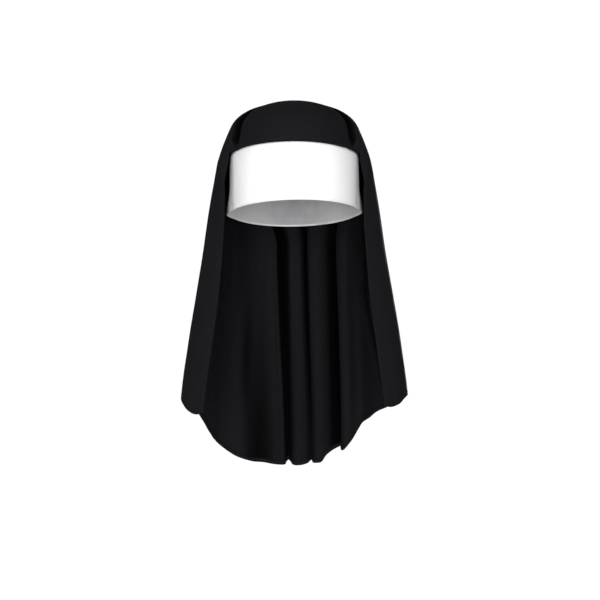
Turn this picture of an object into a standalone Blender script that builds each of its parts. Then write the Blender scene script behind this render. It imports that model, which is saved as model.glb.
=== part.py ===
"""A nun's veil with its headband, as worn: hollow, open at the front and below.

Metres, +Z up, the front faces -Y. The origin is the centre of the headband's lower opening,
where the head carries it. The headband is a stiff ring, and the veil is sewn to its top edge
between the temples. From there the veil goes over the crown and falls at the sides and the back.
"""

import math
from collections import namedtuple

import bpy

# Driving dimensions
BAND_HALF_WIDTH = 0.081
BAND_HALF_DEPTH = 0.100
BAND_HEIGHT = 0.070  # its top 3 mm lie under the veil
BAND_RISE = 0.092  # the ring's slope: rise per metre towards the front
BAND_ROLL = 0.020  # the lower edge's slope: rise per metre towards +X
BAND_WALL = 0.0018
LINING_WALL = 0.0010
VEIL_WALL = 0.0014
HEM_WALL = 0.0010
HEM_WIDTH = 0.0055
LINING_GAP = 0.0005
TURNING_GAP = 0.0009  # between the veil and its turned edges
LINING_INSET = 0.0018  # how far the lining's lower edge stays above the headband's

TEMPLE_ANGLE = 64.0  # from the front, where the veil leaves the headband on each side
BAND_COLUMNS = 72
FRONT_COLUMNS = 40
SIDE_COLUMNS = 10
FOLDS_ANGLE = 118.0  # from the front, where the back begins on the crown
CROWN_ROWS = 11
FALL_ROWS = 14
EDGE_SHARE = 0.058  # the width of the front edges' turnings, as a share of the side
TUCK_TOP = 62.0  # where the cloth dips in at the temples, in degrees from the front, near the crown's top
TUCK_FOOT = 52.0  # and just above the headband
TUCK_HALF = 6.5
TUCK_DEPTH = 0.018
BAND_FLARE = 0.0045  # how far the headband's lower edge stands out at the sides
BAND_FLARE_REACH = 26.0
PLEATS_FROM = 0.085  # the level where the folds of the back begin
PLEATS_FULL = -0.030  # the level where they reach their full depth
PLEATS_SPAN = 0.107  # half the cloth's width where the folds' places at the headband are measured
HEM_GAP = 0.0008

BLACK = (0.006, 0.006, 0.007)
WHITE = (0.86, 0.86, 0.87)
GREY = (0.42, 0.42, 0.43)

# The veil's horizontal sections, top to bottom. level is the height at the sides, drape the half width
# of the cloth that hangs free, head the half width of the crown that it lies on, front and back the
# depths, and tilt the share of the headband's slope.
Section = namedtuple("Section", "level drape head front back tilt")
SECTIONS = (
    Section(0.1397, 0.000, 0.000, 0.000, 0.000, 0.0),
    Section(0.1372, 0.024, 0.023, 0.026, 0.032, 0.1),
    Section(0.1320, 0.044, 0.041, 0.047, 0.056, 0.2),
    Section(0.1245, 0.061, 0.055, 0.065, 0.076, 0.4),
    Section(0.1130, 0.075, 0.066, 0.082, 0.094, 0.6),
    Section(0.0980, 0.083, 0.075, 0.094, 0.107, 0.8),
    Section(0.0670, 0.0945, 0.0835, 0.1025, 0.119, 1.0),
    Section(0.0350, 0.1010, 0.084, 0.080, 0.123, 0.9),
    Section(0.0000, 0.1070, 0.086, 0.069, 0.126, 0.7),
    Section(-0.0500, 0.1145, 0.088, 0.067, 0.128, 0.3),
    Section(-0.1050, 0.1240, 0.092, 0.068, 0.131, 0.0),
    Section(-0.1650, 0.1340, 0.100, 0.074, 0.135, 0.0),
    Section(-0.2300, 0.1430, 0.108, 0.082, 0.140, 0.0),
    Section(-0.3400, 0.1500, 0.115, 0.090, 0.148, 0.0),
)
SEAM_ROW = 6  # the section just below the headband's top edge
COLLAR_ROW = 5.87  # the row of points just above the headband's top edge
SEAM_LEVEL = SECTIONS[SEAM_ROW].level
CROWN_PLACES = [COLLAR_ROW * i / (CROWN_ROWS - 1) for i in range(1, CROWN_ROWS)] + [SEAM_ROW]

# The lower edge's height along each half, by the share of the way from the front edge to the centre back.
HemPoint = namedtuple("HemPoint", "share left right")
HEM_POINTS = (
    HemPoint(0.00, -0.2425, -0.2345),
    HemPoint(0.05, -0.2455, -0.2365),
    HemPoint(0.18, -0.231, -0.2255),
    HemPoint(0.36, -0.229, -0.2305),
    HemPoint(0.50, -0.261, -0.247),
    HemPoint(0.60, -0.293, -0.260),
    HemPoint(0.72, -0.320, -0.291),
    HemPoint(0.86, -0.332, -0.324),
    HemPoint(1.00, -0.333, -0.333),
)

# The cloth's line across the back, left to right, through its ridges and valleys. top is the place across
# at the headband's level and top_deep how far outwards it lies there, hem and hem_deep the same at the
# lower edge, and lift how far the lower edge is pulled up.
Pleat = namedtuple("Pleat", "top top_deep hem hem_deep lift")
PLEATS = (
    Pleat(-0.0980, 0.000, -0.1120, 0.000, 0.000),
    Pleat(-0.0890, 0.003, -0.1010, 0.003, 0.000),
    Pleat(-0.0800, 0.005, -0.0870, 0.000, 0.000),
    Pleat(-0.0630, -0.001, -0.0720, -0.003, 0.000),
    Pleat(-0.0480, -0.005, -0.0570, 0.002, 0.000),
    Pleat(-0.0380, -0.007, -0.0420, 0.004, 0.001),
    Pleat(-0.0320, -0.009, -0.0270, -0.004, 0.000),
    Pleat(-0.0280, -0.010, -0.0165, -0.009, 0.000),
    Pleat(-0.0258, 0.007, -0.0132, 0.001, 0.002),
    Pleat(-0.0180, 0.032, -0.0088, 0.006, 0.005),
    Pleat(-0.0105, 0.007, -0.0044, 0.001, 0.002),
    Pleat(-0.0095, -0.010, -0.0020, -0.009, 0.000),
    Pleat(-0.0050, -0.014, 0.0035, -0.013, -0.001),
    Pleat(0.0040, -0.014, 0.0110, -0.012, -0.001),
    Pleat(0.0095, -0.010, 0.0170, -0.009, 0.000),
    Pleat(0.0103, 0.004, 0.0186, -0.005, 0.001),
    Pleat(0.0140, 0.020, 0.0222, 0.000, 0.003),
    Pleat(0.0177, 0.004, 0.0258, -0.005, 0.001),
    Pleat(0.0187, -0.009, 0.0274, -0.009, -0.001),
    Pleat(0.0240, -0.013, 0.0320, -0.013, -0.002),
    Pleat(0.0320, -0.012, 0.0390, -0.012, -0.003),
    Pleat(0.0390, -0.006, 0.0440, -0.007, 0.003),
    Pleat(0.0470, 0.012, 0.0510, 0.004, 0.005),
    Pleat(0.0570, 0.034, 0.0600, 0.014, 0.003),
    Pleat(0.0640, 0.012, 0.0670, 0.005, 0.000),
    Pleat(0.0625, -0.010, 0.0690, -0.010, -0.008),
    Pleat(0.0670, -0.015, 0.0750, -0.016, -0.014),
    Pleat(0.0750, -0.013, 0.0815, -0.014, -0.010),
    Pleat(0.0790, -0.004, 0.0845, -0.004, -0.001),
    Pleat(0.0840, 0.001, 0.0900, 0.003, 0.006),
    Pleat(0.0910, 0.001, 0.1020, 0.002, 0.001),
    Pleat(0.0980, 0.000, 0.1120, 0.000, 0.000),
)


def spline(values, place):
    """The smooth curve through evenly spaced values, read at a place counted in steps."""
    step = min(int(place), len(values) - 2)
    along = place - step
    before = values[max(step - 1, 0)]
    start = values[step]
    end = values[step + 1]
    after = values[min(step + 2, len(values) - 1)]
    square = along * along
    cube = square * along
    return (
        (2 * cube - 3 * square + 1) * start
        + (cube - 2 * square + along) * (end - before) / 2
        + (3 * square - 2 * cube) * end
        + (cube - square) * (after - start) / 2
    )


def ease(start, stop, value):
    """0 at start, 1 at stop, and smooth between them."""
    share = min(max((value - start) / (stop - start), 0.0), 1.0)
    return share * share * (3 - 2 * share)


def hump(reach):
    """1 at 0, falling smoothly to 0 at 1."""
    return (1 + math.cos(math.pi * min(abs(reach), 1.0))) / 2


def oval(angle, half_width, front, back):
    """The distance from the middle to an oval whose front and back differ."""
    if half_width == 0:
        return 0.0
    depth = front if math.cos(angle) > 0 else back
    return 1 / math.hypot(math.sin(angle) / half_width, math.cos(angle) / depth)


def section_at(row):
    return Section(*(spline([s[i] for s in SECTIONS], row) for i in range(len(Section._fields))))


def row_at_level(level):
    """The row below the seam whose sections lie at a level."""
    high = float(SEAM_ROW)
    low = float(len(SECTIONS) - 1)
    for _ in range(40):
        middle = (low + high) / 2
        if section_at(middle).level > level:
            high = middle
        else:
            low = middle
    return (low + high) / 2


def sloped(point, section):
    """A point of a section, raised by the headband's slope."""
    x, y = point
    return x, y, section.level - BAND_RISE * y * section.tilt


def wrap_point(angle, section):
    """A point of the crown or of a side, at an angle from the front, without the folds of the back."""
    turn = abs(math.degrees(angle))
    hollow = TUCK_TOP + (TUCK_FOOT - TUCK_TOP) * ease(0.118, 0.083, section.level)
    tuck = hollow + 12 * ease(0.084, SEAM_LEVEL, section.level) - 15 * ease(SEAM_LEVEL, 0.0, section.level)
    free = ease(tuck - 5, tuck + 9, turn)
    on_head = oval(angle, section.head, section.front, section.back)
    hanging = oval(angle, section.drape, section.front, section.back)
    radius = on_head + (hanging - on_head) * free
    sunk = TUCK_DEPTH * ease(0.134, 0.118, section.level) * ease(0.073, 0.090, section.level)
    return radius * math.sin(angle), sunk * hump((turn - hollow) / TUCK_HALF) - radius * math.cos(angle)


def back_angle(x, section):
    """The angle from the front of a place across the back."""
    return math.atan2(x, -section.back * math.sqrt(1 - (x / section.drape) ** 2))


def pleats_down(section):
    return ease(0.0, -0.34, section.level)


def pleats_grown(section):
    return ease(PLEATS_FROM, PLEATS_FULL, section.level)


def pleat_x(pleat, section):
    """Where a ridge or valley lies across the back; the places shrink with the cloth near the crown."""
    x = pleat.top + (pleat.hem - pleat.top) * pleats_down(section)
    return x * min(section.drape / PLEATS_SPAN, 1.0)


def pleat_point(index, section):
    """A point of the back, where the folds grow out of the smooth crown."""
    turn = 180 - (180 - FOLDS_ANGLE) * abs(2 * index / (len(PLEATS) - 1) - 1)
    side = -1 if 2 * index < len(PLEATS) - 1 else 1
    flat = wrap_point(math.radians(turn * side), section)
    grown = pleats_grown(section)
    if grown == 0:
        return sloped(flat, section)
    pleat = PLEATS[index]
    x = pleat_x(pleat, section)
    y = section.back * math.sqrt(1 - (x / section.drape) ** 2)
    deep = pleat.top_deep + (pleat.hem_deep - pleat.top_deep) * pleats_down(section)
    lean_x = x / section.drape ** 2
    lean_y = y / section.back ** 2
    deep /= math.hypot(lean_x, lean_y)
    folded = (x + lean_x * deep, y + lean_y * deep)
    return sloped([a + (b - a) * grown for a, b in zip(flat, folded)], section)


def side_point(share, side, section):
    """A point of a side, at a share of the way from the front edge to the first fold of the back."""
    first = PLEATS[0] if side < 0 else PLEATS[-1]
    end = math.radians(FOLDS_ANGLE) * side
    grown = pleats_grown(section)
    if grown > 0:
        end += (back_angle(pleat_x(first, section), section) - end) * grown
    start = math.radians(TEMPLE_ANGLE) * side
    return sloped(wrap_point(start + (end - start) * share, section), section)


def hem_level(angle):
    """The height of the veil's lower edge at an angle from the front."""
    share = (abs(math.degrees(angle)) - TEMPLE_ANGLE) / (180 - TEMPLE_ANGLE)
    step = 0
    while step < len(HEM_POINTS) - 2 and HEM_POINTS[step + 1].share < share:
        step += 1
    low, high = HEM_POINTS[step], HEM_POINTS[step + 1]
    place = step + (share - low.share) / (high.share - low.share)
    return spline([p.left if angle < 0 else p.right for p in HEM_POINTS], place)


def falling_column(point_at, floor):
    """A column from the pole down to its lower edge, with its last row the hem's width above that edge."""
    top = row_at_level(floor + HEM_WIDTH)
    rows = [SEAM_ROW + (top - SEAM_ROW) * i / (FALL_ROWS - 1) for i in range(1, FALL_ROWS)]
    rows.append(row_at_level(floor))
    return [point_at(section_at(row)) for row in CROWN_PLACES + rows]


def falling_columns():
    """The columns that fall, from the left front edge round the back to the right front edge."""
    sides = {}
    for side, first in ((-1, PLEATS[0]), (1, PLEATS[-1])):
        last = back_angle(first.hem, SECTIONS[-1])
        start = math.radians(TEMPLE_ANGLE) * side
        step = (1 - EDGE_SHARE) / SIDE_COLUMNS
        sides[side] = [
            falling_column(lambda s: side_point(share, side, s), hem_level(start + (last - start) * share))
            for share in [0.0] + [EDGE_SHARE + step * i for i in range(SIDE_COLUMNS)]
        ]
    back = [
        falling_column(lambda s: pleat_point(i, s), hem_level(back_angle(p.hem, SECTIONS[-1])) + p.lift)
        for i, p in enumerate(PLEATS)
    ]
    return sides[-1] + back + sides[1][::-1]


def front_columns():
    """The columns between the temples, which end at the seam."""
    step = 2 * TEMPLE_ANGLE / FRONT_COLUMNS
    angles = [math.radians(TEMPLE_ANGLE - step * i) for i in range(1, FRONT_COLUMNS)]
    sections = [section_at(row) for row in CROWN_PLACES]
    return [[sloped(wrap_point(angle, section), section) for section in sections] for angle in angles]


def strip_faces(left, right, rows):
    """Triangles between two columns of points, always split the same way."""
    faces = []
    for r in range(rows):
        faces.append((left + r, left + r + 1, right + r + 1))
        faces.append((left + r, right + r + 1, right + r))
    return faces


def grid_faces(columns, rows, closed):
    """Triangles between columns of rows + 1 points each."""
    high = rows + 1
    faces = []
    for c in range(columns if closed else columns - 1):
        left = c * high
        right = (c + 1) % columns * high
        faces += strip_faces(left, right, rows)
    return faces


def add_part(name, points, faces, wall, colour, roughness):
    """An object from an open outer face, given its wall inwards."""
    mesh = bpy.data.meshes.new(name)
    mesh.from_pydata(points, [], faces)
    middle = mesh.polygons[len(faces) // 3]
    if middle.normal.x * middle.center.x + middle.normal.y * middle.center.y < 0:
        mesh.flip_normals()
    mesh.shade_smooth()
    part = bpy.data.objects.new(name, mesh)
    bpy.data.collections["nun_veil"].objects.link(part)
    solidify = part.modifiers.new("wall", "SOLIDIFY")
    solidify.thickness = wall
    solidify.offset = -1
    solidify.use_even_offset = False
    material = bpy.data.materials.new(name)
    material.use_nodes = True
    shader = material.node_tree.nodes["Principled BSDF"]
    shader.inputs["Base Color"].default_value = (*colour, 1)
    shader.inputs["Roughness"].default_value = roughness
    shader.inputs["Metallic"].default_value = 0
    mesh.materials.append(material)
    return part


def add_ring(name, inset, bottom, top, wall, colour):
    """A closed strip round the head, inside the headband's outer face by inset."""
    points = []
    for column in range(BAND_COLUMNS):
        angle = 2 * math.pi * column / BAND_COLUMNS
        radius = oval(angle, BAND_HALF_WIDTH - inset, BAND_HALF_DEPTH - inset, BAND_HALF_DEPTH - inset)
        side = (math.degrees(math.asin(abs(math.sin(angle)))) - 90) / BAND_FLARE_REACH
        for share in (bottom / BAND_HEIGHT, 0.12, 0.25, 0.45, top / BAND_HEIGHT):
            reach = radius + BAND_FLARE * hump(side) * ease(0.45, 0.0, share)
            x = reach * math.sin(angle)
            y = -reach * math.cos(angle)
            foot = BAND_ROLL * x - BAND_RISE * y
            points.append((x, y, foot + (BAND_HEIGHT - BAND_ROLL * x) * share))
    faces = grid_faces(BAND_COLUMNS, 4, True)
    return add_part(name, points, faces, wall, colour, 0.75)


def add_veil():
    """The veil's columns from the pole at the crown down to the seam, and on down where it falls."""
    points = [(0.0, 0.0, SECTIONS[0].level)]
    faces = []
    tops = []
    falling = falling_columns()
    for column in falling + front_columns():
        tops.append(len(points))
        points += column
    for column, left in enumerate(tops):
        right = tops[(column + 1) % len(tops)]
        faces.append((0, left, right))
        rows = CROWN_ROWS - 1
        if column < len(falling) - 1:
            rows += FALL_ROWS
        faces += strip_faces(left, right, rows)
    veil = add_part("veil", points, faces, VEIL_WALL, BLACK, 0.6)
    return veil, tops[:len(falling)]


def add_turned_edge(name, veil, columns):
    """A narrow turning on the veil's inner face, from the veil's own points moved in."""
    points = []
    for column in columns:
        for index in column:
            vertex = veil.data.vertices[index]
            points.append(vertex.co - vertex.normal * (VEIL_WALL + TURNING_GAP))
    faces = grid_faces(len(columns), len(columns[0]) - 1, False)
    return add_part(name, points, faces, HEM_WALL, BLACK, 0.6)


def add_hems(veil, tops):
    """The turned lower edge, and the turned front edges, which stop short of it."""
    last = CROWN_ROWS - 1 + FALL_ROWS
    add_turned_edge("veil_hem", veil, [(top + last - 1, top + last) for top in tops])
    seam = CROWN_ROWS - 1
    for name, outer, inner in (
        ("veil_edge_left", tops[0], tops[1]),
        ("veil_edge_right", tops[-1], tops[-2]),
    ):
        rows = range(seam, last)
        edge = add_turned_edge(name, veil, [[outer + r for r in rows], [inner + r for r in rows]])
        for first in (len(rows) - 1, 2 * len(rows) - 1):
            foot = edge.data.vertices[first]
            above = edge.data.vertices[first - 1]
            foot.co += (above.co - foot.co).normalized() * HEM_GAP


def main():
    for old in list(bpy.data.objects):
        bpy.data.objects.remove(old, do_unlink=True)
    collection = bpy.data.collections.new("nun_veil")
    bpy.context.scene.collection.children.link(collection)
    add_ring("headband", 0.0, 0.0, BAND_HEIGHT, BAND_WALL, WHITE)
    inside = BAND_WALL + LINING_GAP
    add_ring("headband_lining", inside, LINING_INSET, BAND_HEIGHT - LINING_INSET, LINING_WALL, GREY)
    veil, tops = add_veil()
    add_hems(veil, tops)


main()
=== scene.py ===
import math
from collections import namedtuple

import bpy
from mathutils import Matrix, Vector, noise


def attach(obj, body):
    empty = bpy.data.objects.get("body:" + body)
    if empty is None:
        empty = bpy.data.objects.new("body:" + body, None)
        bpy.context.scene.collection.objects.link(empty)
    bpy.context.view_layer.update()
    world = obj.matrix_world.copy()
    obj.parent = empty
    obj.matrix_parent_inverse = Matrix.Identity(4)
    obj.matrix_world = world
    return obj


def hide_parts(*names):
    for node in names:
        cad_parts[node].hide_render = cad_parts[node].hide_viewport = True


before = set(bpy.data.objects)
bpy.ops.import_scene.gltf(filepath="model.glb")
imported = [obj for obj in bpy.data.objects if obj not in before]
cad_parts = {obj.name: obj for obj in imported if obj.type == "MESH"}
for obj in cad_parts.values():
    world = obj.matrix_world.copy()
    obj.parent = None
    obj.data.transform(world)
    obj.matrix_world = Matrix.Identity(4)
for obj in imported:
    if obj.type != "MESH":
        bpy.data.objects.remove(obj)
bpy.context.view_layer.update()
scene = bpy.context.scene
print("frame loaded")

# camera, light and floor
studio = {
    "cameraPlace": (0.0069, -1.4, -0.1075),
    "lens": 67.2,
    "floorLevel": -0.62,
    "floorRadius": 6.0,
    "floorSides": 96,
    "floorGrey": 0.55,
    "backdrop": 1.02,  # the pale surroundings, as seen
    "fill": 0.10,  # what lights the cloth from all round
    # name, place, where it points, width and height, watts
    "softboxes": (
        ("keyLeft", (-0.40, -2.1, 0.0), (0, 0, -0.1), (0.5, 1.3), 26),
        ("keyRight", (0.40, -2.1, 0.0), (0, 0, -0.1), (0.5, 1.3), 24),
        ("sideLeft", (-2.0, -0.3, 0.1), (0, 0, -0.1), (0.5, 1.4), 7),
        ("sideRight", (2.0, -0.3, 0.1), (0, 0, -0.1), (0.5, 1.4), 3),
        ("top", (0.0, -0.4, 2.0), (0, 0, 0), (1.2, 1.0), 9),
        ("back", (0.2, 2.4, -0.1), (0, 0, -0.1), (1.8, 1.0), 70),
    ),
}


def addCamera():
    lens = bpy.data.cameras.new("camera")
    lens.lens = studio["lens"]
    lens.sensor_width = 36
    lens.clip_end = 50
    camera = bpy.data.objects.new("camera", lens)
    camera.location = studio["cameraPlace"]
    camera.rotation_euler = (math.radians(90), 0, 0)
    scene.collection.objects.link(camera)
    scene.camera = camera


def addSoftbox(name, place, target, size, watts):
    lamp = bpy.data.lights.new(name, "AREA")
    lamp.shape = "RECTANGLE"
    lamp.size, lamp.size_y = size
    lamp.energy = watts
    box = bpy.data.objects.new(name, lamp)
    box.location = place
    box.rotation_euler = (Vector(target) - box.location).to_track_quat("-Z", "Y").to_euler()
    scene.collection.objects.link(box)


def addWorld():
    world = bpy.data.worlds.new("studio")
    world.use_nodes = True
    tree = world.node_tree
    tree.nodes.clear()
    output = tree.nodes.new("ShaderNodeOutputWorld")
    mix = tree.nodes.new("ShaderNodeMixShader")
    seen = tree.nodes.new("ShaderNodeBackground")
    light = tree.nodes.new("ShaderNodeBackground")
    path = tree.nodes.new("ShaderNodeLightPath")
    seen.inputs["Strength"].default_value = studio["backdrop"]
    light.inputs["Strength"].default_value = studio["fill"]
    seen.inputs["Color"].default_value = (1, 1, 1, 1)
    light.inputs["Color"].default_value = (1, 1, 1, 1)
    tree.links.new(path.outputs["Is Camera Ray"], mix.inputs[0])
    tree.links.new(light.outputs[0], mix.inputs[1])
    tree.links.new(seen.outputs[0], mix.inputs[2])
    tree.links.new(mix.outputs[0], output.inputs["Surface"])
    scene.world = world


def addFloor():
    mesh = bpy.data.meshes.new("floor")
    sides, radius = studio["floorSides"], studio["floorRadius"]
    rim = [(radius * math.cos(2 * math.pi * i / sides), radius * math.sin(2 * math.pi * i / sides),
            studio["floorLevel"]) for i in range(sides)]
    mesh.from_pydata(rim, [], [tuple(range(sides))])
    material = bpy.data.materials.new("paleFloor")
    material.use_nodes = True
    tree = material.node_tree
    shader = tree.nodes["Principled BSDF"]
    shader.inputs["Base Color"].default_value = (*[studio["floorGrey"]] * 3, 1)
    shader.inputs["Roughness"].default_value = 0.9
    shown = tree.nodes.new("ShaderNodeEmission")
    shown.inputs["Strength"].default_value = studio["backdrop"]
    path = tree.nodes.new("ShaderNodeLightPath")
    mix = tree.nodes.new("ShaderNodeMixShader")
    tree.links.new(path.outputs["Is Camera Ray"], mix.inputs[0])
    tree.links.new(shader.outputs[0], mix.inputs[1])
    tree.links.new(shown.outputs[0], mix.inputs[2])
    tree.links.new(mix.outputs[0], tree.nodes["Material Output"].inputs["Surface"])
    mesh.materials.append(material)
    floor = bpy.data.objects.new("floor", mesh)
    scene.collection.objects.link(floor)


scene.view_settings.view_transform = "Standard"
addCamera()
addWorld()
addFloor()
for softbox in studio["softboxes"]:
    addSoftbox(*softbox)
print("studio ready")


# what all the cloths and threads have in common
clothGrain = {
    "wobbleScale": 60.0,  # the yarns don't run quite straight
    "sway": 3.0,
    "slubScale": 420.0,
    "slubStretch": 0.12,  # thick places run along the yarn
    "crossingHeight": 0.5,
    "crossingTone": 0.12,
    "patchScale": 0.4,  # of the crumples' scale
    "threadTone": 0.55,  # shares of the colour variation
    "patchTone": 0.45,
}


def newGroup(name, inputs, outputs):
    group = bpy.data.node_groups.new(name, "ShaderNodeTree")
    for label, kind, value in inputs:
        socket = group.interface.new_socket(label, in_out="INPUT", socket_type=kind)
        if value is not None:
            socket.default_value = value
    for label, kind in outputs:
        group.interface.new_socket(label, in_out="OUTPUT", socket_type=kind)
    return group, group.nodes.new("NodeGroupInput"), group.nodes.new("NodeGroupOutput")


def addNode(tree, kind, values=None, **settings):
    node = tree.nodes.new(kind)
    for key, value in settings.items():
        setattr(node, key, value)
    for key, value in (values or {}).items():
        node.inputs[key].default_value = value
    return node


def feed(tree, socket, value):
    if isinstance(value, (int, float, tuple)):
        socket.default_value = value
    else:
        tree.links.new(value, socket)


def addMath(tree, operation, first, second):
    node = addNode(tree, "ShaderNodeMath", operation=operation)
    feed(tree, node.inputs[0], first)
    feed(tree, node.inputs[1], second)
    return node.outputs[0]


def addMix(tree, share, first, second):
    node = addNode(tree, "ShaderNodeMix", data_type="RGBA")
    # a mix node's colours are its sockets 6 and 7, and its mixed colour is output 2
    for index, value in ((0, share), (6, first), (7, second)):
        feed(tree, node.inputs[index], value)
    return node.outputs[2]


def weaveGroup():
    group, given, result = newGroup(
        "weave",
        [("Vector", "NodeSocketVector", None), ("Threads", "NodeSocketFloat", 2000.0),
         ("Slub", "NodeSocketFloat", 0.3)],
        [("Height", "NodeSocketFloat"), ("Tone", "NodeSocketFloat")],
    )
    wobble = addNode(group, "ShaderNodeTexNoise", {"Scale": clothGrain["wobbleScale"], "Detail": 2.0})
    group.links.new(given.outputs["Vector"], wobble.inputs["Vector"])
    split = addNode(group, "ShaderNodeSeparateXYZ")
    group.links.new(given.outputs["Vector"], split.inputs[0])
    turns = addMath(group, "MULTIPLY", given.outputs["Threads"], math.pi)
    sway = addMath(group, "MULTIPLY", wobble.outputs["Fac"], clothGrain["sway"])
    across = addMath(group, "MULTIPLY", split.outputs[0], turns)
    along = addMath(group, "MULTIPLY", split.outputs[1], turns)
    warp = addMath(group, "SINE", addMath(group, "ADD", across, sway), 0)
    weft = addMath(group, "SINE", addMath(group, "ADD", along, sway), 0)
    crossing = addMath(group, "MULTIPLY", warp, weft)
    slub = addNode(group, "ShaderNodeTexNoise",
                   {"Scale": clothGrain["slubScale"], "Detail": 3.0, "Roughness": 0.6})
    stretch = addNode(group, "ShaderNodeMapping", {"Scale": (1.0, clothGrain["slubStretch"], 1.0)})
    group.links.new(given.outputs["Vector"], stretch.inputs["Vector"])
    group.links.new(stretch.outputs[0], slub.inputs["Vector"])
    yarn = addMath(group, "MULTIPLY", slub.outputs["Fac"], given.outputs["Slub"])
    raised = addMath(group, "MULTIPLY", crossing, clothGrain["crossingHeight"])
    height = addMath(group, "ADD", raised, yarn)
    group.links.new(height, result.inputs["Height"])
    tinted = addMath(group, "MULTIPLY", crossing, clothGrain["crossingTone"])
    tone = addMath(group, "ADD", tinted, slub.outputs["Fac"])
    group.links.new(tone, result.inputs["Tone"])
    return group


def crumpleGroup():
    group, given, result = newGroup(
        "crumple",
        [("Vector", "NodeSocketVector", None), ("Size", "NodeSocketFloat", 30.0)],
        [("Height", "NodeSocketFloat"), ("Patches", "NodeSocketFloat")],
    )
    soft = addNode(group, "ShaderNodeTexNoise", {"Detail": 3.0, "Roughness": 0.5, "Distortion": 0.6})
    patches = addNode(group, "ShaderNodeTexNoise", {"Detail": 4.0, "Roughness": 0.62})
    for texture in (soft, patches):
        group.links.new(given.outputs["Vector"], texture.inputs["Vector"])
    group.links.new(given.outputs["Size"], soft.inputs["Scale"])
    wide = addMath(group, "MULTIPLY", given.outputs["Size"], clothGrain["patchScale"])
    group.links.new(wide, patches.inputs["Scale"])
    group.links.new(soft.outputs["Fac"], result.inputs["Height"])
    group.links.new(patches.outputs["Fac"], result.inputs["Patches"])
    return group


weave = weaveGroup()
crumple = crumpleGroup()


def clothMaterial(name, look):
    material = bpy.data.materials.new(name)
    material.use_nodes = True
    tree = material.node_tree
    shader = tree.nodes["Principled BSDF"]
    shader.inputs["Specular IOR Level"].default_value = look["gloss"]
    shader.inputs["Sheen Weight"].default_value = look["sheen"]
    shader.inputs["Sheen Roughness"].default_value = look["sheenRoughness"]
    place = addNode(tree, "ShaderNodeTexCoord")
    threads = addNode(tree, "ShaderNodeGroup", node_tree=weave)
    threads.inputs["Threads"].default_value = look["threads"]
    threads.inputs["Slub"].default_value = look["slub"]
    tree.links.new(place.outputs["UV"], threads.inputs["Vector"])
    creased = addNode(tree, "ShaderNodeGroup", node_tree=crumple)
    creased.inputs["Size"].default_value = look["crumpleSize"]
    tree.links.new(place.outputs["Object"], creased.inputs["Vector"])

    fromThreads = addMath(tree, "MULTIPLY", threads.outputs["Tone"], clothGrain["threadTone"])
    fromPatches = addMath(tree, "MULTIPLY", creased.outputs["Patches"], clothGrain["patchTone"])
    tone = addMath(tree, "ADD", fromThreads, fromPatches)
    colour = addMix(tree, tone, (*look["dark"], 1), (*look["light"], 1))
    if "deep" in look:
        # painted shade: the colour goes over to the look's deep colour as far as the mesh's shade attribute
        # says, in place of the shade in folds, hollows and creases and at the back of the lining
        folded = addNode(tree, "ShaderNodeAttribute", attribute_name="paintedShade")
        colour = addMix(tree, folded.outputs["Fac"], colour, (*look["deep"], 1))
    tree.links.new(colour, shader.inputs["Base Color"])

    smooth, coarse = look["roughness"]
    rough = addNode(tree, "ShaderNodeMapRange", {"To Min": smooth, "To Max": coarse})
    tree.links.new(creased.outputs["Patches"], rough.inputs["Value"])
    tree.links.new(rough.outputs[0], shader.inputs["Roughness"])

    folds = addNode(tree, "ShaderNodeBump", {"Strength": 1.0, "Distance": look["crumpleDepth"]})
    fine = addNode(tree, "ShaderNodeBump",
                   {"Strength": look["weaveStrength"], "Distance": look["weaveDepth"]})
    tree.links.new(creased.outputs["Height"], folds.inputs["Height"])
    tree.links.new(threads.outputs["Height"], fine.inputs["Height"])
    tree.links.new(folds.outputs["Normal"], fine.inputs["Normal"])
    tree.links.new(fine.outputs["Normal"], shader.inputs["Normal"])
    return material


veilBlack = clothMaterial("veilBlackCrepe", {
    "dark": (0.0064, 0.0062, 0.0078),
    "light": (0.0100, 0.0097, 0.0121),
    # deep: the near black painted where the veil lies in shade, in its folds, hollows and creases
    "deep": (0.0002, 0.0002, 0.0003),
    "roughness": (0.70, 0.82),
    "gloss": 0.05,
    "sheen": 0.006,
    "sheenRoughness": 0.4,
    "threads": 2400.0,
    "slub": 0.5,
    "weaveStrength": 0.35,
    "weaveDepth": 0.00012,
    "crumpleSize": 26.0,
    "crumpleDepth": 0.0011,
})
bandWhite = clothMaterial("headbandWhite", {
    "dark": (0.84, 0.84, 0.85),
    "light": (0.93, 0.93, 0.935),
    "roughness": (0.72, 0.84),
    "gloss": 0.3,
    "sheen": 0.05,
    "sheenRoughness": 0.5,
    "threads": 2600.0,
    "slub": 0.4,
    "weaveStrength": 0.25,
    "weaveDepth": 0.0001,
    "crumpleSize": 18.0,
    "crumpleDepth": 0.0005,
})
liningGrey = clothMaterial("liningGrey", {
    "dark": (0.70, 0.70, 0.72),
    "light": (0.84, 0.84, 0.85),
    # deep: the grey painted towards the centre back, for the shade inside the ring
    "deep": (0.35, 0.35, 0.36),
    "roughness": (0.8, 0.92),
    "gloss": 0.2,
    "sheen": 0.6,
    "sheenRoughness": 0.5,
    "threads": 1700.0,
    "slub": 0.3,
    "weaveStrength": 0.3,
    "weaveDepth": 0.00018,
    "crumpleSize": 34.0,
    "crumpleDepth": 0.0009,
})
# the twist of a sewing thread, black or white
twist = {
    "sheen": 0.0,
    "sheenRoughness": 0.5,
    "threads": 4000.0,
    "slub": 0.2,
    "weaveStrength": 0.2,
    "weaveDepth": 0.00005,
    "crumpleSize": 300.0,
    "crumpleDepth": 0.0001,
}
blackThread = clothMaterial("blackThread", {
    **twist,
    "dark": (0.004, 0.004, 0.005),
    "light": (0.007, 0.007, 0.008),
    "roughness": (0.4, 0.5),
    "gloss": 0.15,
})
whiteThread = clothMaterial("whiteThread", {
    **twist,
    "dark": (0.74, 0.74, 0.75),
    "light": (0.84, 0.84, 0.85),
    "roughness": (0.5, 0.6),
    "gloss": 0.35,
})
print("materials ready")


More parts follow.
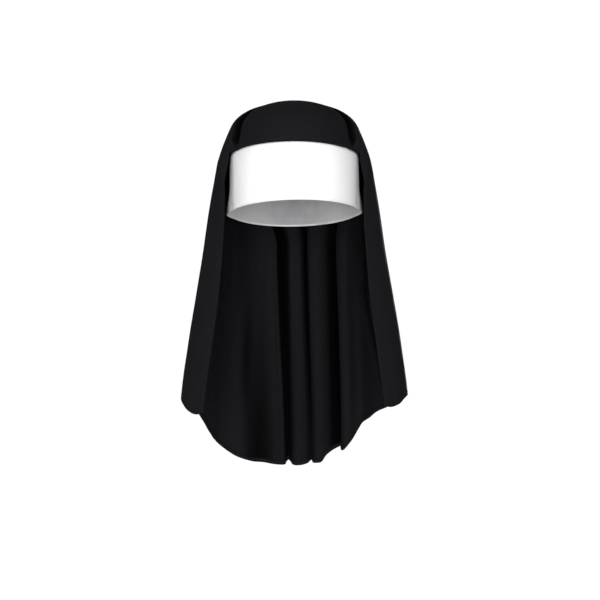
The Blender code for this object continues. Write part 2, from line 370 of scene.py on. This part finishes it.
# shapes that the pieces share
def spline(values, place):
    # a smooth curve through the values, where a whole place number is a value's own
    step = min(int(place), len(values) - 2)
    along = place - step
    before, start, end, after = (values[max(step - 1, 0)], values[step], values[step + 1],
                                 values[min(step + 2, len(values) - 1)])
    square = along * along
    cube = square * along
    return ((2 * cube - 3 * square + 1) * start + (cube - 2 * square + along) * (end - before) / 2
            + (3 * square - 2 * cube) * end + (cube - square) * (after - start) / 2)


def ease(start, stop, value):
    share = min(max((value - start) / (stop - start), 0.0), 1.0)
    return share * share * (3 - 2 * share)


def hump(reach):
    # 1 in the middle, 0 from a reach of 1 on
    return (1 + math.cos(math.pi * min(abs(reach), 1.0))) / 2


def oval(angle, halfWidth, front, back):
    # distance from the axis; angle 0 is the front
    if halfWidth == 0:
        return 0.0
    depth = front if math.cos(angle) > 0 else back
    return 1 / math.hypot(math.sin(angle) / halfWidth, math.cos(angle) / depth)


def gridFaces(columns, rows, closed):
    high = rows + 1
    faces = []
    for column in range(columns if closed else columns - 1):
        left = column * high
        right = (column + 1) % columns * high
        for row in range(rows):
            faces.append((left + row, left + row + 1, right + row + 1, right + row))
    return faces


def pieceFrom(name, points, faces, material, uvs=None):
    mesh = bpy.data.meshes.new(name)
    mesh.from_pydata([tuple(p) for p in points], [], faces)
    # a face on the outside, whose normal has to point away from the axis
    sample = mesh.polygons[len(faces) // 3]
    if sample.normal.xy.dot(sample.center.xy) < 0:
        mesh.flip_normals()
    mesh.shade_smooth()
    mesh.materials.append(material)
    if uvs:
        layer = mesh.uv_layers.new(name="cloth")
        for loop in mesh.loops:
            layer.data[loop.index].uv = uvs[loop.vertex_index]
    piece = bpy.data.objects.new(name, mesh)
    scene.collection.objects.link(piece)
    return piece


def giveWall(piece, wall):
    solidify = piece.modifiers.new("wall", "SOLIDIFY")
    solidify.thickness = wall
    solidify.offset = -1
    solidify.use_even_offset = False
    graph = bpy.context.evaluated_depsgraph_get()
    mesh = bpy.data.meshes.new_from_object(piece.evaluated_get(graph))
    piece.modifiers.clear()
    piece.data = mesh
    return piece


def clothUvs(grid):
    uvs = []
    across = 0.0
    for index, column in enumerate(grid):
        if index:
            middle = len(column) // 2
            across += (Vector(column[middle]) - Vector(grid[index - 1][middle])).length
        down = 0.0
        for row, point in enumerate(column):
            if row:
                down += (Vector(point) - Vector(column[row - 1])).length
            uvs.append((across, down))
    return uvs


# angles are in degrees from the front, levels are heights above the headband's foot
veil = {
    "wall": 0.0006,
    "slope": 0.092,  # the rings stand higher at the front
    "temple": 64.0,  # where the veil's front edges are
    "edgeWidth": 0.058,  # the front edges' turnings, as a share of the side
    "foldsAngle": 118.0,  # where the sides end and the back's folds begin
    "frontColumns": 96,
    "edgeColumns": 4,
    "sideColumns": 40,
    "backColumns": 186,
    "crownRows": 38,
    "fallRows": 118,
    "hemRows": 4,
    "hemWidth": 0.0055,
    "seamRow": 6,
    "seamLevel": 0.067,
    "tuckAngle": 52.0,  # the hollows at the temples, from the front, just above the headband
    "tuckTop": 62.0,  # and near the top of the crown
    "tuckTurns": (0.118, 0.083),  # levels between which they move from the one to the other
    "tuckHalf": 6.0,
    "tuckDepth": 0.022,
    "tuckUpper": (0.134, 0.118),  # levels between which they deepen, from above and from below
    "tuckLower": (0.069, 0.084),
    "seamTurn": 12,  # how much further back the cloth leaves the head at the seam
    "footTurn": 15,  # and how much further forward again at the headband's foot
    "hang": (-5, 9),  # from there, where the cloth starts to hang and where it hangs free
    "ripples": (0.0022, 0.0008),  # depths of the wide and of the small unevenness
    "rippleAbove": 0.03,  # the cloth is uneven from this far above the seam,
    "rippleFull": -0.12,  # fully from this level down
    "rippleTurn": 8,  # and from this far behind the front edges
    # level, half width of the hanging cloth and of the crown under it, front, back, share of the slope
    "sections": (
        (0.1397, 0.000, 0.000, 0.000, 0.000, 0.0),
        (0.1372, 0.024, 0.023, 0.026, 0.032, 0.1),
        (0.1320, 0.044, 0.041, 0.047, 0.056, 0.2),
        (0.1245, 0.061, 0.055, 0.065, 0.076, 0.4),
        (0.1130, 0.075, 0.066, 0.082, 0.094, 0.6),
        (0.0980, 0.083, 0.075, 0.094, 0.107, 0.8),
        (0.0670, 0.0945, 0.0835, 0.1025, 0.119, 1.0),
        (0.0350, 0.1010, 0.084, 0.080, 0.123, 0.9),
        (0.0000, 0.1070, 0.086, 0.069, 0.126, 0.7),
        (-0.0500, 0.1145, 0.088, 0.067, 0.128, 0.3),
        (-0.1050, 0.1240, 0.092, 0.068, 0.131, 0.0),
        (-0.1650, 0.1340, 0.100, 0.074, 0.135, 0.0),
        (-0.2300, 0.1430, 0.108, 0.082, 0.140, 0.0),
        (-0.3400, 0.1500, 0.115, 0.090, 0.148, 0.0),
    ),
    # share of the way from the front edge to the centre back, height of the left half, of the right half
    "hem": (
        (0.00, -0.2425, -0.2345),
        (0.05, -0.2455, -0.2365),
        (0.18, -0.231, -0.2255),
        (0.36, -0.229, -0.2305),
        (0.50, -0.261, -0.247),
        (0.60, -0.293, -0.260),
        (0.72, -0.320, -0.291),
        (0.86, -0.332, -0.324),
        (1.00, -0.333, -0.333),
    ),
    # the back's folds, left to right: place across and outward depth at the headband, the same at the hem,
    # and how far the hem is lifted
    "pleats": (
        (-0.0980, 0.000, -0.1120, 0.000, 0.000),
        (-0.0890, 0.003, -0.1010, 0.003, 0.000),
        (-0.0800, 0.005, -0.0870, 0.000, 0.000),
        (-0.0630, -0.001, -0.0720, -0.003, 0.000),
        (-0.0480, -0.005, -0.0570, 0.002, 0.000),
        (-0.0380, -0.007, -0.0420, 0.004, 0.001),
        (-0.0320, -0.009, -0.0270, -0.004, 0.000),
        (-0.0280, -0.010, -0.0165, -0.009, 0.000),
        (-0.0258, 0.007, -0.0132, 0.001, 0.002),
        (-0.0180, 0.032, -0.0088, 0.006, 0.005),
        (-0.0105, 0.007, -0.0044, 0.001, 0.002),
        (-0.0095, -0.010, -0.0020, -0.009, 0.000),
        (-0.0050, -0.014, 0.0035, -0.013, -0.001),
        (0.0040, -0.014, 0.0110, -0.012, -0.001),
        (0.0095, -0.010, 0.0170, -0.009, 0.000),
        (0.0103, 0.004, 0.0186, -0.005, 0.001),
        (0.0140, 0.020, 0.0222, 0.000, 0.003),
        (0.0177, 0.004, 0.0258, -0.005, 0.001),
        (0.0187, -0.009, 0.0274, -0.009, -0.001),
        (0.0240, -0.013, 0.0320, -0.013, -0.002),
        (0.0320, -0.012, 0.0390, -0.012, -0.003),
        (0.0390, -0.006, 0.0440, -0.007, 0.003),
        (0.0470, 0.012, 0.0510, 0.004, 0.005),
        (0.0570, 0.034, 0.0600, 0.014, 0.003),
        (0.0640, 0.012, 0.0670, 0.005, 0.000),
        (0.0625, -0.010, 0.0690, -0.010, -0.008),
        (0.0670, -0.015, 0.0750, -0.016, -0.014),
        (0.0750, -0.013, 0.0815, -0.014, -0.010),
        (0.0790, -0.004, 0.0845, -0.004, -0.001),
        (0.0840, 0.001, 0.0900, 0.003, 0.006),
        (0.0910, 0.001, 0.1020, 0.002, 0.001),
        (0.0980, 0.000, 0.1120, 0.000, 0.000),
    ),
    "pleatSpan": 0.107,  # half width of the cloth where the places at the headband are measured
    "pleatsFrom": 0.085,
    "pleatsFull": -0.030,
    "pleatLevels": (0.0, -0.34),  # the headband's foot and the lowest hem
    # painted shade: the back's inner face is darkened in the colour, a little all over its middle and most in
    # its valleys, in place of the shade there
    "darkFrom": -0.006,  # outward depth where a fold's painted shade begins
    "darkDepth": 0.006,  # a valley this deep gets the full painted shade
    "darkLeast": 0.12,
    "darkReach": 0.064,  # as far across the back as the painted shade of the valleys goes
    "darkFade": 0.016,
    "crownShade": (0.05, 0.08),  # heights between which the outer face takes up its painted shades
    "creaseEnd": 0.08,  # how far a crease has risen at its ends, as a share of half a wave
    # soft creases: angle and level where each starts, the same where it ends, half width, outward depth,
    # and how much painted shade each adds
    "creases": (
        (20, 0.122, 50, 0.120, 0.0045, -0.0016, 0.35),
        (24, 0.116, 50, 0.113, 0.0045, -0.0014, 0.45),
        (28, 0.109, 48, 0.105, 0.0040, -0.0012, 0.35),
        (-30, 0.120, -54, 0.108, 0.0050, -0.0012, 0.20),
        (-78, 0.060, -84, -0.200, 0.0065, 0.0022, 0.0),
        (76, 0.060, 82, -0.200, 0.0065, 0.0022, 0.0),
        (130, 0.050, 134, -0.110, 0.0190, 0.0090, 1.0),
        (136, -0.090, 121, -0.245, 0.0100, 0.0060, 0.9),
        (118, -0.020, 124, -0.130, 0.0120, -0.0060, 0.0),
        (-126, -0.020, -129, -0.100, 0.0180, 0.0040, 0.55),
        (-152, -0.120, -152, -0.250, 0.0130, 0.0030, 0.45),
        (-110, -0.020, -104, -0.180, 0.0160, 0.0060, 0.0),
    ),
}


ringShape = namedtuple("ringShape", "level drape head front back slope")
rings = [ringShape(*section) for section in veil["sections"]]
pleatColumns = ("topPlace", "topDepth", "hemPlace", "hemDepth", "hemLift")
lastPleat = len(veil["pleats"]) - 1


def sectionAt(row):
    return ringShape(*[spline(values, row) for values in zip(*rings)])


def rowAtLevel(level):
    high = float(veil["seamRow"])
    low = float(len(rings) - 1)
    levels = [ring.level for ring in rings]
    for _ in range(32):
        middle = (low + high) / 2
        if spline(levels, middle) > level:
            high = middle
        else:
            low = middle
    return (low + high) / 2


def creaseAt(turn, level, radius):
    # outward depth and painted shade of the creases at a place
    carried = 0.0
    shade = 0.0
    for startTurn, startLevel, endTurn, endLevel, half, deep, dark in veil["creases"]:
        run = Vector((math.radians(endTurn - startTurn) * radius, endLevel - startLevel))
        place = Vector((math.radians(turn - startTurn) * radius, level - startLevel))
        along = min(max(place.dot(run) / run.length_squared, 0.0), 1.0)
        away = (place - run * along).length / half
        if away < 1:
            end = veil["creaseEnd"]
            taper = hump(away) * math.sin(math.pi * (end + (1 - 2 * end) * along))
            carried += deep * taper
            shade += dark * taper
    return carried, shade


def sloped(point, section):
    return Vector((point.x, point.y, section.level - veil["slope"] * point.y * section.slope))


def ripple(angle, level):
    wide, small = veil["ripples"]
    loose = ease(veil["seamLevel"] + veil["rippleAbove"], veil["rippleFull"], level)
    loose *= ease(veil["temple"], veil["temple"] + veil["rippleTurn"], abs(math.degrees(angle)))
    grain = Vector((angle * 5.0, level * 4.0, 3.7))
    return loose * (noise.noise(grain) * wide + noise.noise(grain * 2.7) * small)


def tuckTurn(level):
    return veil["tuckTop"] + (veil["tuckAngle"] - veil["tuckTop"]) * ease(*veil["tuckTurns"], level)


def tuckHollow(angle, level):
    # where the cloth dips in at the temples, between the crown and the part that hangs
    across = (abs(math.degrees(angle)) - tuckTurn(level)) / veil["tuckHalf"]
    return ease(*veil["tuckUpper"], level) * ease(*veil["tuckLower"], level) * hump(across)


def wrapPoint(angle, section):
    # the cloth over the crown and at the sides, without the folds of the back
    level, drape, head, front, back, _ = section
    turn = math.degrees(angle)
    seam = veil["seamLevel"]
    leaves = tuckTurn(level) + veil["seamTurn"] * ease(veil["tuckLower"][1], seam, level)
    leaves -= veil["footTurn"] * ease(seam, 0.0, level)
    start, end = veil["hang"]
    free = ease(leaves + start, leaves + end, abs(turn))
    onHead = oval(angle, head, front, back)
    hanging = oval(angle, drape, front, back)
    radius = onHead + (hanging - onHead) * free
    radius += creaseAt(turn, level, radius)[0] + ripple(angle, level)
    sunk = veil["tuckDepth"] * tuckHollow(angle, level)
    return Vector((radius * math.sin(angle), sunk - radius * math.cos(angle), 0))


def backAngle(x, section):
    return math.atan2(x, -section.back * math.sqrt(max(1 - (x / section.drape) ** 2, 0.0)))


def pleatValue(name, place):
    column = pleatColumns.index(name)
    return spline([pleat[column] for pleat in veil["pleats"]], place)


def pleatAt(name, place, section):
    # value at the headband going over to the value at the hem
    atTop, atHem = pleatValue("top" + name, place), pleatValue("hem" + name, place)
    return atTop + (atHem - atTop) * ease(*veil["pleatLevels"], section.level)


def pleatX(place, section):
    return pleatAt("Place", place, section) * min(section.drape / veil["pleatSpan"], 1.0)


def pleatsGrown(section):
    return ease(veil["pleatsFrom"], veil["pleatsFull"], section.level)


def pleatPoint(share, section):
    # the back, from its left-hand side to its right-hand side
    level, drape, _, _, back, _ = section
    turn = 180 - (180 - veil["foldsAngle"]) * abs(2 * share - 1)
    flat = wrapPoint(math.radians(turn if share > 0.5 else -turn), section)
    grown = pleatsGrown(section)
    if grown == 0:
        return sloped(flat, section)
    place = share * lastPleat
    x = pleatX(place, section)
    y = back * math.sqrt(1 - (x / drape) ** 2)
    outward = Vector((x / drape ** 2, y / back ** 2, 0)).normalized()
    around = math.atan2(x, -y)
    creased = creaseAt(math.degrees(around), level, math.hypot(x, y))[0]
    deep = pleatAt("Depth", place, section) + ripple(around, level) + creased
    return sloped(flat.lerp(Vector((x, y, 0)) + outward * deep, grown), section)


def sideAngle(share, side, section):
    # share of the way from the front edge to the first fold of the back
    end = math.radians(veil["foldsAngle"]) * side
    grown = pleatsGrown(section)
    if grown > 0:
        x = pleatX(0 if side < 0 else lastPleat, section)
        end += (backAngle(x, section) - end) * grown
    start = math.radians(veil["temple"]) * side
    return start + (end - start) * share


def sidePoint(share, side, section):
    return sloped(wrapPoint(sideAngle(share, side, section), section), section)


# painted shade of the back: darker in its deep valleys and along the creases, towards the middle
def pleatPaintedShade(place, section):
    x = pleatX(place, section)
    valley = ease(veil["darkFrom"], veil["darkDepth"], pleatAt("Depth", place, section))
    dark = veil["darkLeast"] + (1 - veil["darkLeast"]) * valley
    inner = ease(veil["darkReach"] + veil["darkFade"], veil["darkReach"], abs(x))
    creased = creaseAt(math.degrees(backAngle(x, section)), section.level, section.drape)[1]
    return pleatsGrown(section) * (creased + inner * dark)


# painted shade of the crown and sides: darker in the hollows at the temples and along the creases
def wrapPaintedShade(angle, section):
    creased = creaseAt(math.degrees(angle), section.level, section.drape)[1]
    return tuckHollow(angle, section.level) + creased


def hemLevel(share, side):
    # share of the way from the front edge to the centre back
    shares = [row[0] for row in veil["hem"]]
    heights = [left if side < 0 else right for _, left, right in veil["hem"]]
    step = 0
    while step < len(shares) - 2 and shares[step + 1] < share:
        step += 1
    low, high = shares[step], shares[step + 1]
    return spline(heights, step + (share - low) / (high - low))


def hemShare(angle):
    return (abs(math.degrees(angle)) - veil["temple"]) / (180 - veil["temple"])


def columnAt(pointAt, shadeAt, floor):
    # points and painted shades from the pole down to the lower edge; the last rows are the hem's width
    seam = veil["seamRow"]
    turned = rowAtLevel(floor + veil["hemWidth"])
    foot = rowAtLevel(floor)
    rows = [seam + (turned - seam) * i / veil["fallRows"] for i in range(1, veil["fallRows"] + 1)]
    rows += [turned + (foot - turned) * i / veil["hemRows"] for i in range(1, veil["hemRows"] + 1)]
    sections = crownSections + [sectionAt(row) for row in rows]
    return [(pointAt(section), shadeAt(section)) for section in sections]


def sideColumns(side):
    edge = veil["edgeWidth"]
    shares = [edge * i / veil["edgeColumns"] for i in range(veil["edgeColumns"])]
    shares += [edge + (1 - edge) * i / veil["sideColumns"] for i in range(veil["sideColumns"])]
    last = hemShare(backAngle(pleatValue("hemPlace", 0), rings[-1]))
    columns = []
    for share in shares:
        columns.append(columnAt(lambda section: sidePoint(share, side, section),
                                lambda section: wrapPaintedShade(sideAngle(share, side, section), section),
                                hemLevel(share * last, side)))
    return columns


def backColumns():
    columns = []
    for i in range(veil["backColumns"] + 1):
        share = i / veil["backColumns"]
        place = share * lastPleat
        x = pleatValue("hemPlace", place)
        floor = hemLevel(hemShare(backAngle(x, rings[-1])), -1 if x < 0 else 1)
        floor += pleatValue("hemLift", place)
        columns.append(columnAt(lambda section: pleatPoint(share, section),
                                lambda section: pleatPaintedShade(place, section), floor))
    return columns


def frontColumns():
    columns = []
    for i in range(1, veil["frontColumns"]):
        angle = math.radians(veil["temple"] * (1 - 2 * i / veil["frontColumns"]))
        columns.append([(sloped(wrapPoint(angle, section), section), wrapPaintedShade(angle, section))
                        for section in crownSections])
    return columns


def addVeil():
    falling = sideColumns(-1) + backColumns() + sideColumns(1)[::-1]
    grid = falling + frontColumns()
    points = [Vector((0, 0, rings[0].level))]
    shades = [0.0]
    tops = []
    faces = []
    for column in grid:
        tops.append(len(points))
        points += [point for point, _ in column]
        shades += [min(shade, 1.0) for _, shade in column]
    for index, left in enumerate(tops):
        right = tops[(index + 1) % len(tops)]
        faces.append((0, left, right))
        rows = veil["crownRows"] - 1
        if index < len(falling) - 1:
            rows += veil["fallRows"] + veil["hemRows"]
        for r in range(rows):
            faces.append((left + r, left + r + 1, right + r + 1, right + r))
    uvs = [(0.0, 0.0)] + clothUvs([[point for point, _ in column] for column in grid])
    piece = pieceFrom("veilCloth", points, faces, veilBlack, uvs)
    # painted shade for each point, read by the veil's material
    piece.data.attributes.new("paintedShade", "FLOAT", "POINT").data.foreach_set("value", shades)
    return piece, tops[:len(falling)], tops[len(falling):]


crownStep = veil["seamRow"] / veil["crownRows"]
crownSections = [sectionAt(crownStep * i) for i in range(1, veil["crownRows"] + 1)]
veilCloth, fallTops, frontTops = addVeil()
veilShape = [(v.co.copy(), v.normal.copy()) for v in veilCloth.data.vertices]
giveWall(veilCloth, veil["wall"])
# the outer face comes first and keeps only the crown's painted shade
shades = veilCloth.data.attributes["paintedShade"].data
for index, (place, _) in enumerate(veilShape):
    shades[index].value *= ease(*veil["crownShade"], place.z)
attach(veilCloth, "root")
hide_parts("veil")


headband = {
    "halfWidth": 0.081,
    "halfDepth": 0.100,
    "height": 0.070,
    "slope": 0.092,  # it stands higher at the front
    "roll": 0.020,  # its foot slants from side to side
    "wall": 0.0018,
    "columns": 180,
    "rows": 14,
    "rounding": (0.38, 0.08),  # of the edges' two outermost rows, as shares of the wall
    "bulge": 0.0003,
    "flare": 0.0045,  # how far the lower edge stands out at the sides
    "flareReach": 26.0,  # degrees to each side of the flare's middle
    "flareTop": 0.45,  # as a share of the height
}


def bandPoint(angle, inset, share, low, high):
    depth = headband["halfDepth"] - inset
    radius = oval(angle, headband["halfWidth"] - inset, depth, depth)
    side = (math.degrees(math.asin(abs(math.sin(angle)))) - 90) / headband["flareReach"]
    rise = low + (high - low) * share
    radius += headband["flare"] * hump(side) * ease(headband["flareTop"] * headband["height"], 0.0, rise)
    x = radius * math.sin(angle)
    y = -radius * math.cos(angle)
    foot = low - headband["slope"] * y + headband["roll"] * x
    top = high - headband["slope"] * y
    return Vector((x, y, foot + (top - foot) * share))


def edgeRounding(row):
    edge = min(row, headband["rows"] - row)
    return headband["wall"] * (headband["rounding"][edge] if edge < 2 else 0.0)


def addHeadband():
    columns, rows, height = headband["columns"], headband["rows"], headband["height"]
    grid = []
    for column in range(columns):
        angle = 2 * math.pi * column / columns
        outer = []
        inner = []
        for row in range(rows + 1):
            share = row / rows
            uneven = noise.noise(Vector((angle * 2, share * 2, 5)))
            swell = min(headband["bulge"] * (math.sin(math.pi * share) + uneven - 1), 0.0)
            outer.append(bandPoint(angle, edgeRounding(row) - swell, share, 0.0, height))
            inner.append(bandPoint(angle, headband["wall"] - edgeRounding(row), share, 0.0, height))
        grid.append(outer + inner[::-1])
    high = 2 * (rows + 1)
    faces = []
    for column in range(columns):
        left = column * high
        right = (column + 1) % columns * high
        for row in range(high):
            after = (row + 1) % high
            faces.append((left + row, right + row, right + after, left + after))
    points = [p for loop in grid for p in loop]
    piece = pieceFrom("headbandCloth", points, faces, bandWhite, clothUvs(grid))
    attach(piece, "root")
    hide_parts("headband")


addHeadband()
print("headband made")


lining = {
    "gap": 0.0003,
    "wall": 0.00055,
    "low": 0.0018,  # how far it stays inside the headband's edges
    "rows": 26,
    "columns": 150,
    "seamColumns": 40,  # closer together, to each side of the centre back
    "seamSpan": 8.0,
    "roundness": 0.8,  # the ring's radius at the back, as a share of its half depth
    "allowance": 0.0052,  # width of the turning to each side of the seam, which lifts the lining
    "allowanceEdge": 0.0008,
    "allowanceHeight": 0.0004,
    "groove": 0.0007,  # depth of the seam itself
    "grooveHalf": 0.0009,
    "wrinkles": (0.00045, 0.0003),  # heights of the slanting ones and of the wide ones
    "wrinkleSlant": (0.16, 9.0),  # how fast they change round the ring and up it
    "turned": 0.0003,  # height of the turned lower edge
    "turnedPlace": 0.03,
    "turnedHalf": 0.05,
    "shade": 60.0,  # how far round from the centre back the painted shade reaches
    "shadeUneven": 0.15,
}


def turnFromFront(angle):
    return math.degrees((angle + math.pi) % (2 * math.pi) - math.pi)


def liningLift(turn, share):
    # how far the lining stands in from the headband
    across = math.radians(180 - abs(turn)) * headband["halfDepth"] * lining["roundness"]
    edge = lining["allowance"]
    pressed = lining["allowanceHeight"] * ease(edge + lining["allowanceEdge"], edge, across)
    groove = -lining["groove"] * hump(across / lining["grooveHalf"])
    slant = turn * lining["wrinkleSlant"][0] + share * lining["wrinkleSlant"][1]
    steep, wide = lining["wrinkles"]
    wrinkle = steep * noise.noise(Vector((slant, share * 1.3, 1.0)))
    wrinkle += wide * noise.noise(Vector((turn * 0.05, share * 3, 8.0)))
    turned = lining["turned"] * hump((share - lining["turnedPlace"]) / lining["turnedHalf"])
    return max(pressed + groove + abs(wrinkle) + turned, 0.0)


# painted shade: the lining darker towards the centre back, in patches, in place of the shade inside the ring
def liningPaintedShade(turn, row):
    uneven = lining["shadeUneven"]
    patch = 1 - uneven + uneven * noise.noise(Vector((abs(turn) * 0.2, row * 0.2, 2.0)))
    return hump((180 - abs(turn)) / lining["shade"]) * patch


def addLining():
    inset = headband["wall"] + lining["gap"]
    rows, columns, fine = lining["rows"], lining["columns"], lining["seamColumns"]
    span = math.radians(lining["seamSpan"])
    angles = [math.pi + span * i / fine for i in range(-fine, fine + 1)]
    rest = math.radians(360 - 2 * lining["seamSpan"])
    angles += [math.pi + span + rest * i / columns for i in range(1, columns)]
    low, high = lining["low"], headband["height"] - lining["low"]
    grid = []
    shades = []
    for angle in angles:
        turn = turnFromFront(angle)
        shares = [row / rows for row in range(rows + 1)]
        grid.append([bandPoint(angle, inset + liningLift(turn, share), share, low, high) for share in shares])
        shades += [liningPaintedShade(turn, row) for row in range(rows + 1)]
    points = [p for column in grid for p in column]
    piece = pieceFrom("liningCloth", points, gridFaces(len(grid), rows, True), liningGrey, clothUvs(grid))
    piece.data.attributes.new("paintedShade", "FLOAT", "POINT").data.foreach_set("value", shades)
    giveWall(piece, lining["wall"])
    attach(piece, "root")
    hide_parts("headband_lining")
    return piece


liningCloth = addLining()
print("lining made")


# turned hems, made from the points of the veil
hems = {
    "wall": 0.0005,
    "gap": 0.0003,
    "puff": 0.0006,  # how far a hem stands off between its fold and its free edge
    "puffArc": (0.15, 0.8),  # start and length of the part of half a wave that it follows
}


def addTurning(name, node, columns):
    # each column runs from the fold of the hem to its free edge
    points = []
    start, length = hems["puffArc"]
    for column in columns:
        last = len(column) - 1
        for step, index in enumerate(column):
            place, normal = veilShape[index]
            puff = hems["puff"] * math.sin(math.pi * (start + length * step / last))
            points.append(place - normal * (veil["wall"] + hems["gap"] + puff))
    grid = [points[i:i + len(columns[0])] for i in range(0, len(points), len(columns[0]))]
    faces = gridFaces(len(columns), len(columns[0]) - 1, False)
    piece = pieceFrom(name, points, faces, veilBlack, clothUvs(grid))
    giveWall(piece, hems["wall"])
    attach(piece, "root")
    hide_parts(node)
    return piece


lastRow = veil["crownRows"] - 1 + veil["fallRows"] + veil["hemRows"]
hemTurning = addTurning("hemTurning", "veil_hem",
                        [[top + lastRow - i for i in range(veil["hemRows"] + 1)] for top in fallTops])
edgeRows = range(veil["crownRows"] - 1, lastRow - veil["hemRows"])
edgeLeft = addTurning("edgeTurningLeft", "veil_edge_left",
                      [[fallTops[i] + r for i in range(veil["edgeColumns"] + 1)] for r in edgeRows])
edgeRight = addTurning("edgeTurningRight", "veil_edge_right",
                       [[fallTops[-1 - i] + r for i in range(veil["edgeColumns"] + 1)] for r in edgeRows])
print("hems made")


stitches = {
    "length": 0.0024,
    "spacing": 0.0036,
    "thick": 0.00028,
    "uneven": (0.88, 1.08),  # smallest and largest, as shares of the size
    "outside": -0.00005,  # a hair proud of the cloth
    "bandInset": 0.0011,  # from the headband's inner face, through the lining
    "bandRise": 0.035,  # share of the headband's height
    "bandSteps": 240,
    "seed": 4,
}


def stitchTree(name, material):
    tree = bpy.data.node_groups.new(name, "GeometryNodeTree")
    for label, kind, way in (
        ("Geometry", "NodeSocketGeometry", "INPUT"),
        ("Spacing", "NodeSocketFloat", "INPUT"),
        ("Length", "NodeSocketFloat", "INPUT"),
        ("Thick", "NodeSocketFloat", "INPUT"),
        ("Seed", "NodeSocketInt", "INPUT"),
        ("Geometry", "NodeSocketGeometry", "OUTPUT"),
    ):
        tree.interface.new_socket(label, in_out=way, socket_type=kind)
    given = tree.nodes.new("NodeGroupInput")
    result = tree.nodes.new("NodeGroupOutput")
    path = addNode(tree, "GeometryNodeMeshToCurve")
    points = addNode(tree, "GeometryNodeCurveToPoints", mode="LENGTH")
    bead = addNode(tree, "GeometryNodeMeshUVSphere", {"Segments": 6, "Rings": 4, "Radius": 1.0})
    turn = addNode(tree, "FunctionNodeAlignRotationToVector", axis="Z")
    smallest, largest = stitches["uneven"]
    jitter = addNode(tree, "FunctionNodeRandomValue", {2: smallest, 3: largest}, data_type="FLOAT")
    size = addNode(tree, "ShaderNodeCombineXYZ")
    scale = addNode(tree, "ShaderNodeVectorMath", operation="SCALE")
    lay = addNode(tree, "GeometryNodeInstanceOnPoints")
    real = addNode(tree, "GeometryNodeRealizeInstances")
    smooth = addNode(tree, "GeometryNodeSetShadeSmooth")
    paint = addNode(tree, "GeometryNodeSetMaterial", {"Material": material})
    half = addMath(tree, "MULTIPLY", given.outputs["Length"], 0.5)
    # a bead for each stitch along the path
    for source, target in (
        (given.outputs["Geometry"], path.inputs["Mesh"]),
        (path.outputs[0], points.inputs["Curve"]),
        (given.outputs["Spacing"], points.inputs["Length"]),
        (points.outputs["Points"], lay.inputs["Points"]),
        (bead.outputs["Mesh"], lay.inputs["Instance"]),
        (points.outputs["Tangent"], turn.inputs["Vector"]),
        (turn.outputs[0], lay.inputs["Rotation"]),
        (given.outputs["Thick"], size.inputs[0]),
        (given.outputs["Thick"], size.inputs[1]),
        (half, size.inputs[2]),
        (given.outputs["Seed"], jitter.inputs["Seed"]),
        (size.outputs[0], scale.inputs[0]),
        (jitter.outputs[1], scale.inputs["Scale"]),
        (scale.outputs[0], lay.inputs["Scale"]),
        (lay.outputs[0], real.inputs[0]),
        (real.outputs[0], smooth.inputs[0]),
        (smooth.outputs[0], paint.inputs[0]),
        (paint.outputs[0], result.inputs[0]),
    ):
        tree.links.new(source, target)
    return tree


def addStitches(name, paths, tree):
    mesh = bpy.data.meshes.new(name)
    points = []
    edges = []
    for path in paths:
        first = len(points)
        points += [tuple(p) for p in path]
        edges += [(first + i, first + i + 1) for i in range(len(path) - 1)]
    mesh.from_pydata(points, edges, [])
    piece = bpy.data.objects.new(name, mesh)
    scene.collection.objects.link(piece)
    sewing = piece.modifiers.new("sewing", "NODES")
    sewing.node_group = tree
    sizes = {"Spacing": stitches["spacing"], "Length": stitches["length"],
             "Thick": stitches["thick"], "Seed": stitches["seed"]}
    for item in tree.interface.items_tree:
        if item.in_out == "INPUT" and item.name in sizes:
            sewing[item.identifier] = sizes[item.name]
    graph = bpy.context.evaluated_depsgraph_get()
    graph.update()
    made = bpy.data.meshes.new_from_object(piece.evaluated_get(graph))
    piece.modifiers.clear()
    piece.data = made
    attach(piece, "root")
    return piece


def seamPath(indices, depth):
    return [veilShape[i][0] - veilShape[i][1] * depth for i in indices]


blackSewing = stitchTree("blackSewing", blackThread)
whiteSewing = stitchTree("whiteSewing", whiteThread)
outside = stitches["outside"]
inside = veil["wall"] + hems["gap"] + hems["puff"] + hems["wall"]
hemRow = lastRow - veil["hemRows"] + 1
hemLine = [top + hemRow for top in fallTops]
leftLine = [fallTops[veil["edgeColumns"] - 1] + r for r in edgeRows]
rightLine = [fallTops[-veil["edgeColumns"]] + r for r in edgeRows]
frontLine = [top + veil["crownRows"] - 2 for top in [fallTops[-1]] + frontTops + [fallTops[0]]]
sewnLines = (hemLine, leftLine, rightLine)
hemPaths = [seamPath(line, depth) for line in sewnLines for depth in (outside, inside)]
hemStitches = addStitches("hemStitches", hemPaths, blackSewing)
seamStitches = addStitches("seamStitches", [seamPath(frontLine, outside)], blackSewing)
bandSteps = stitches["bandSteps"]
bandInset = headband["wall"] + lining["gap"] + stitches["bandInset"]
bandLine = [bandPoint(2 * math.pi * i / bandSteps, bandInset, stitches["bandRise"], 0.0, headband["height"])
            for i in range(bandSteps + 1)]
addStitches("bandStitches", [bandLine], whiteSewing)
print("stitches sewn")
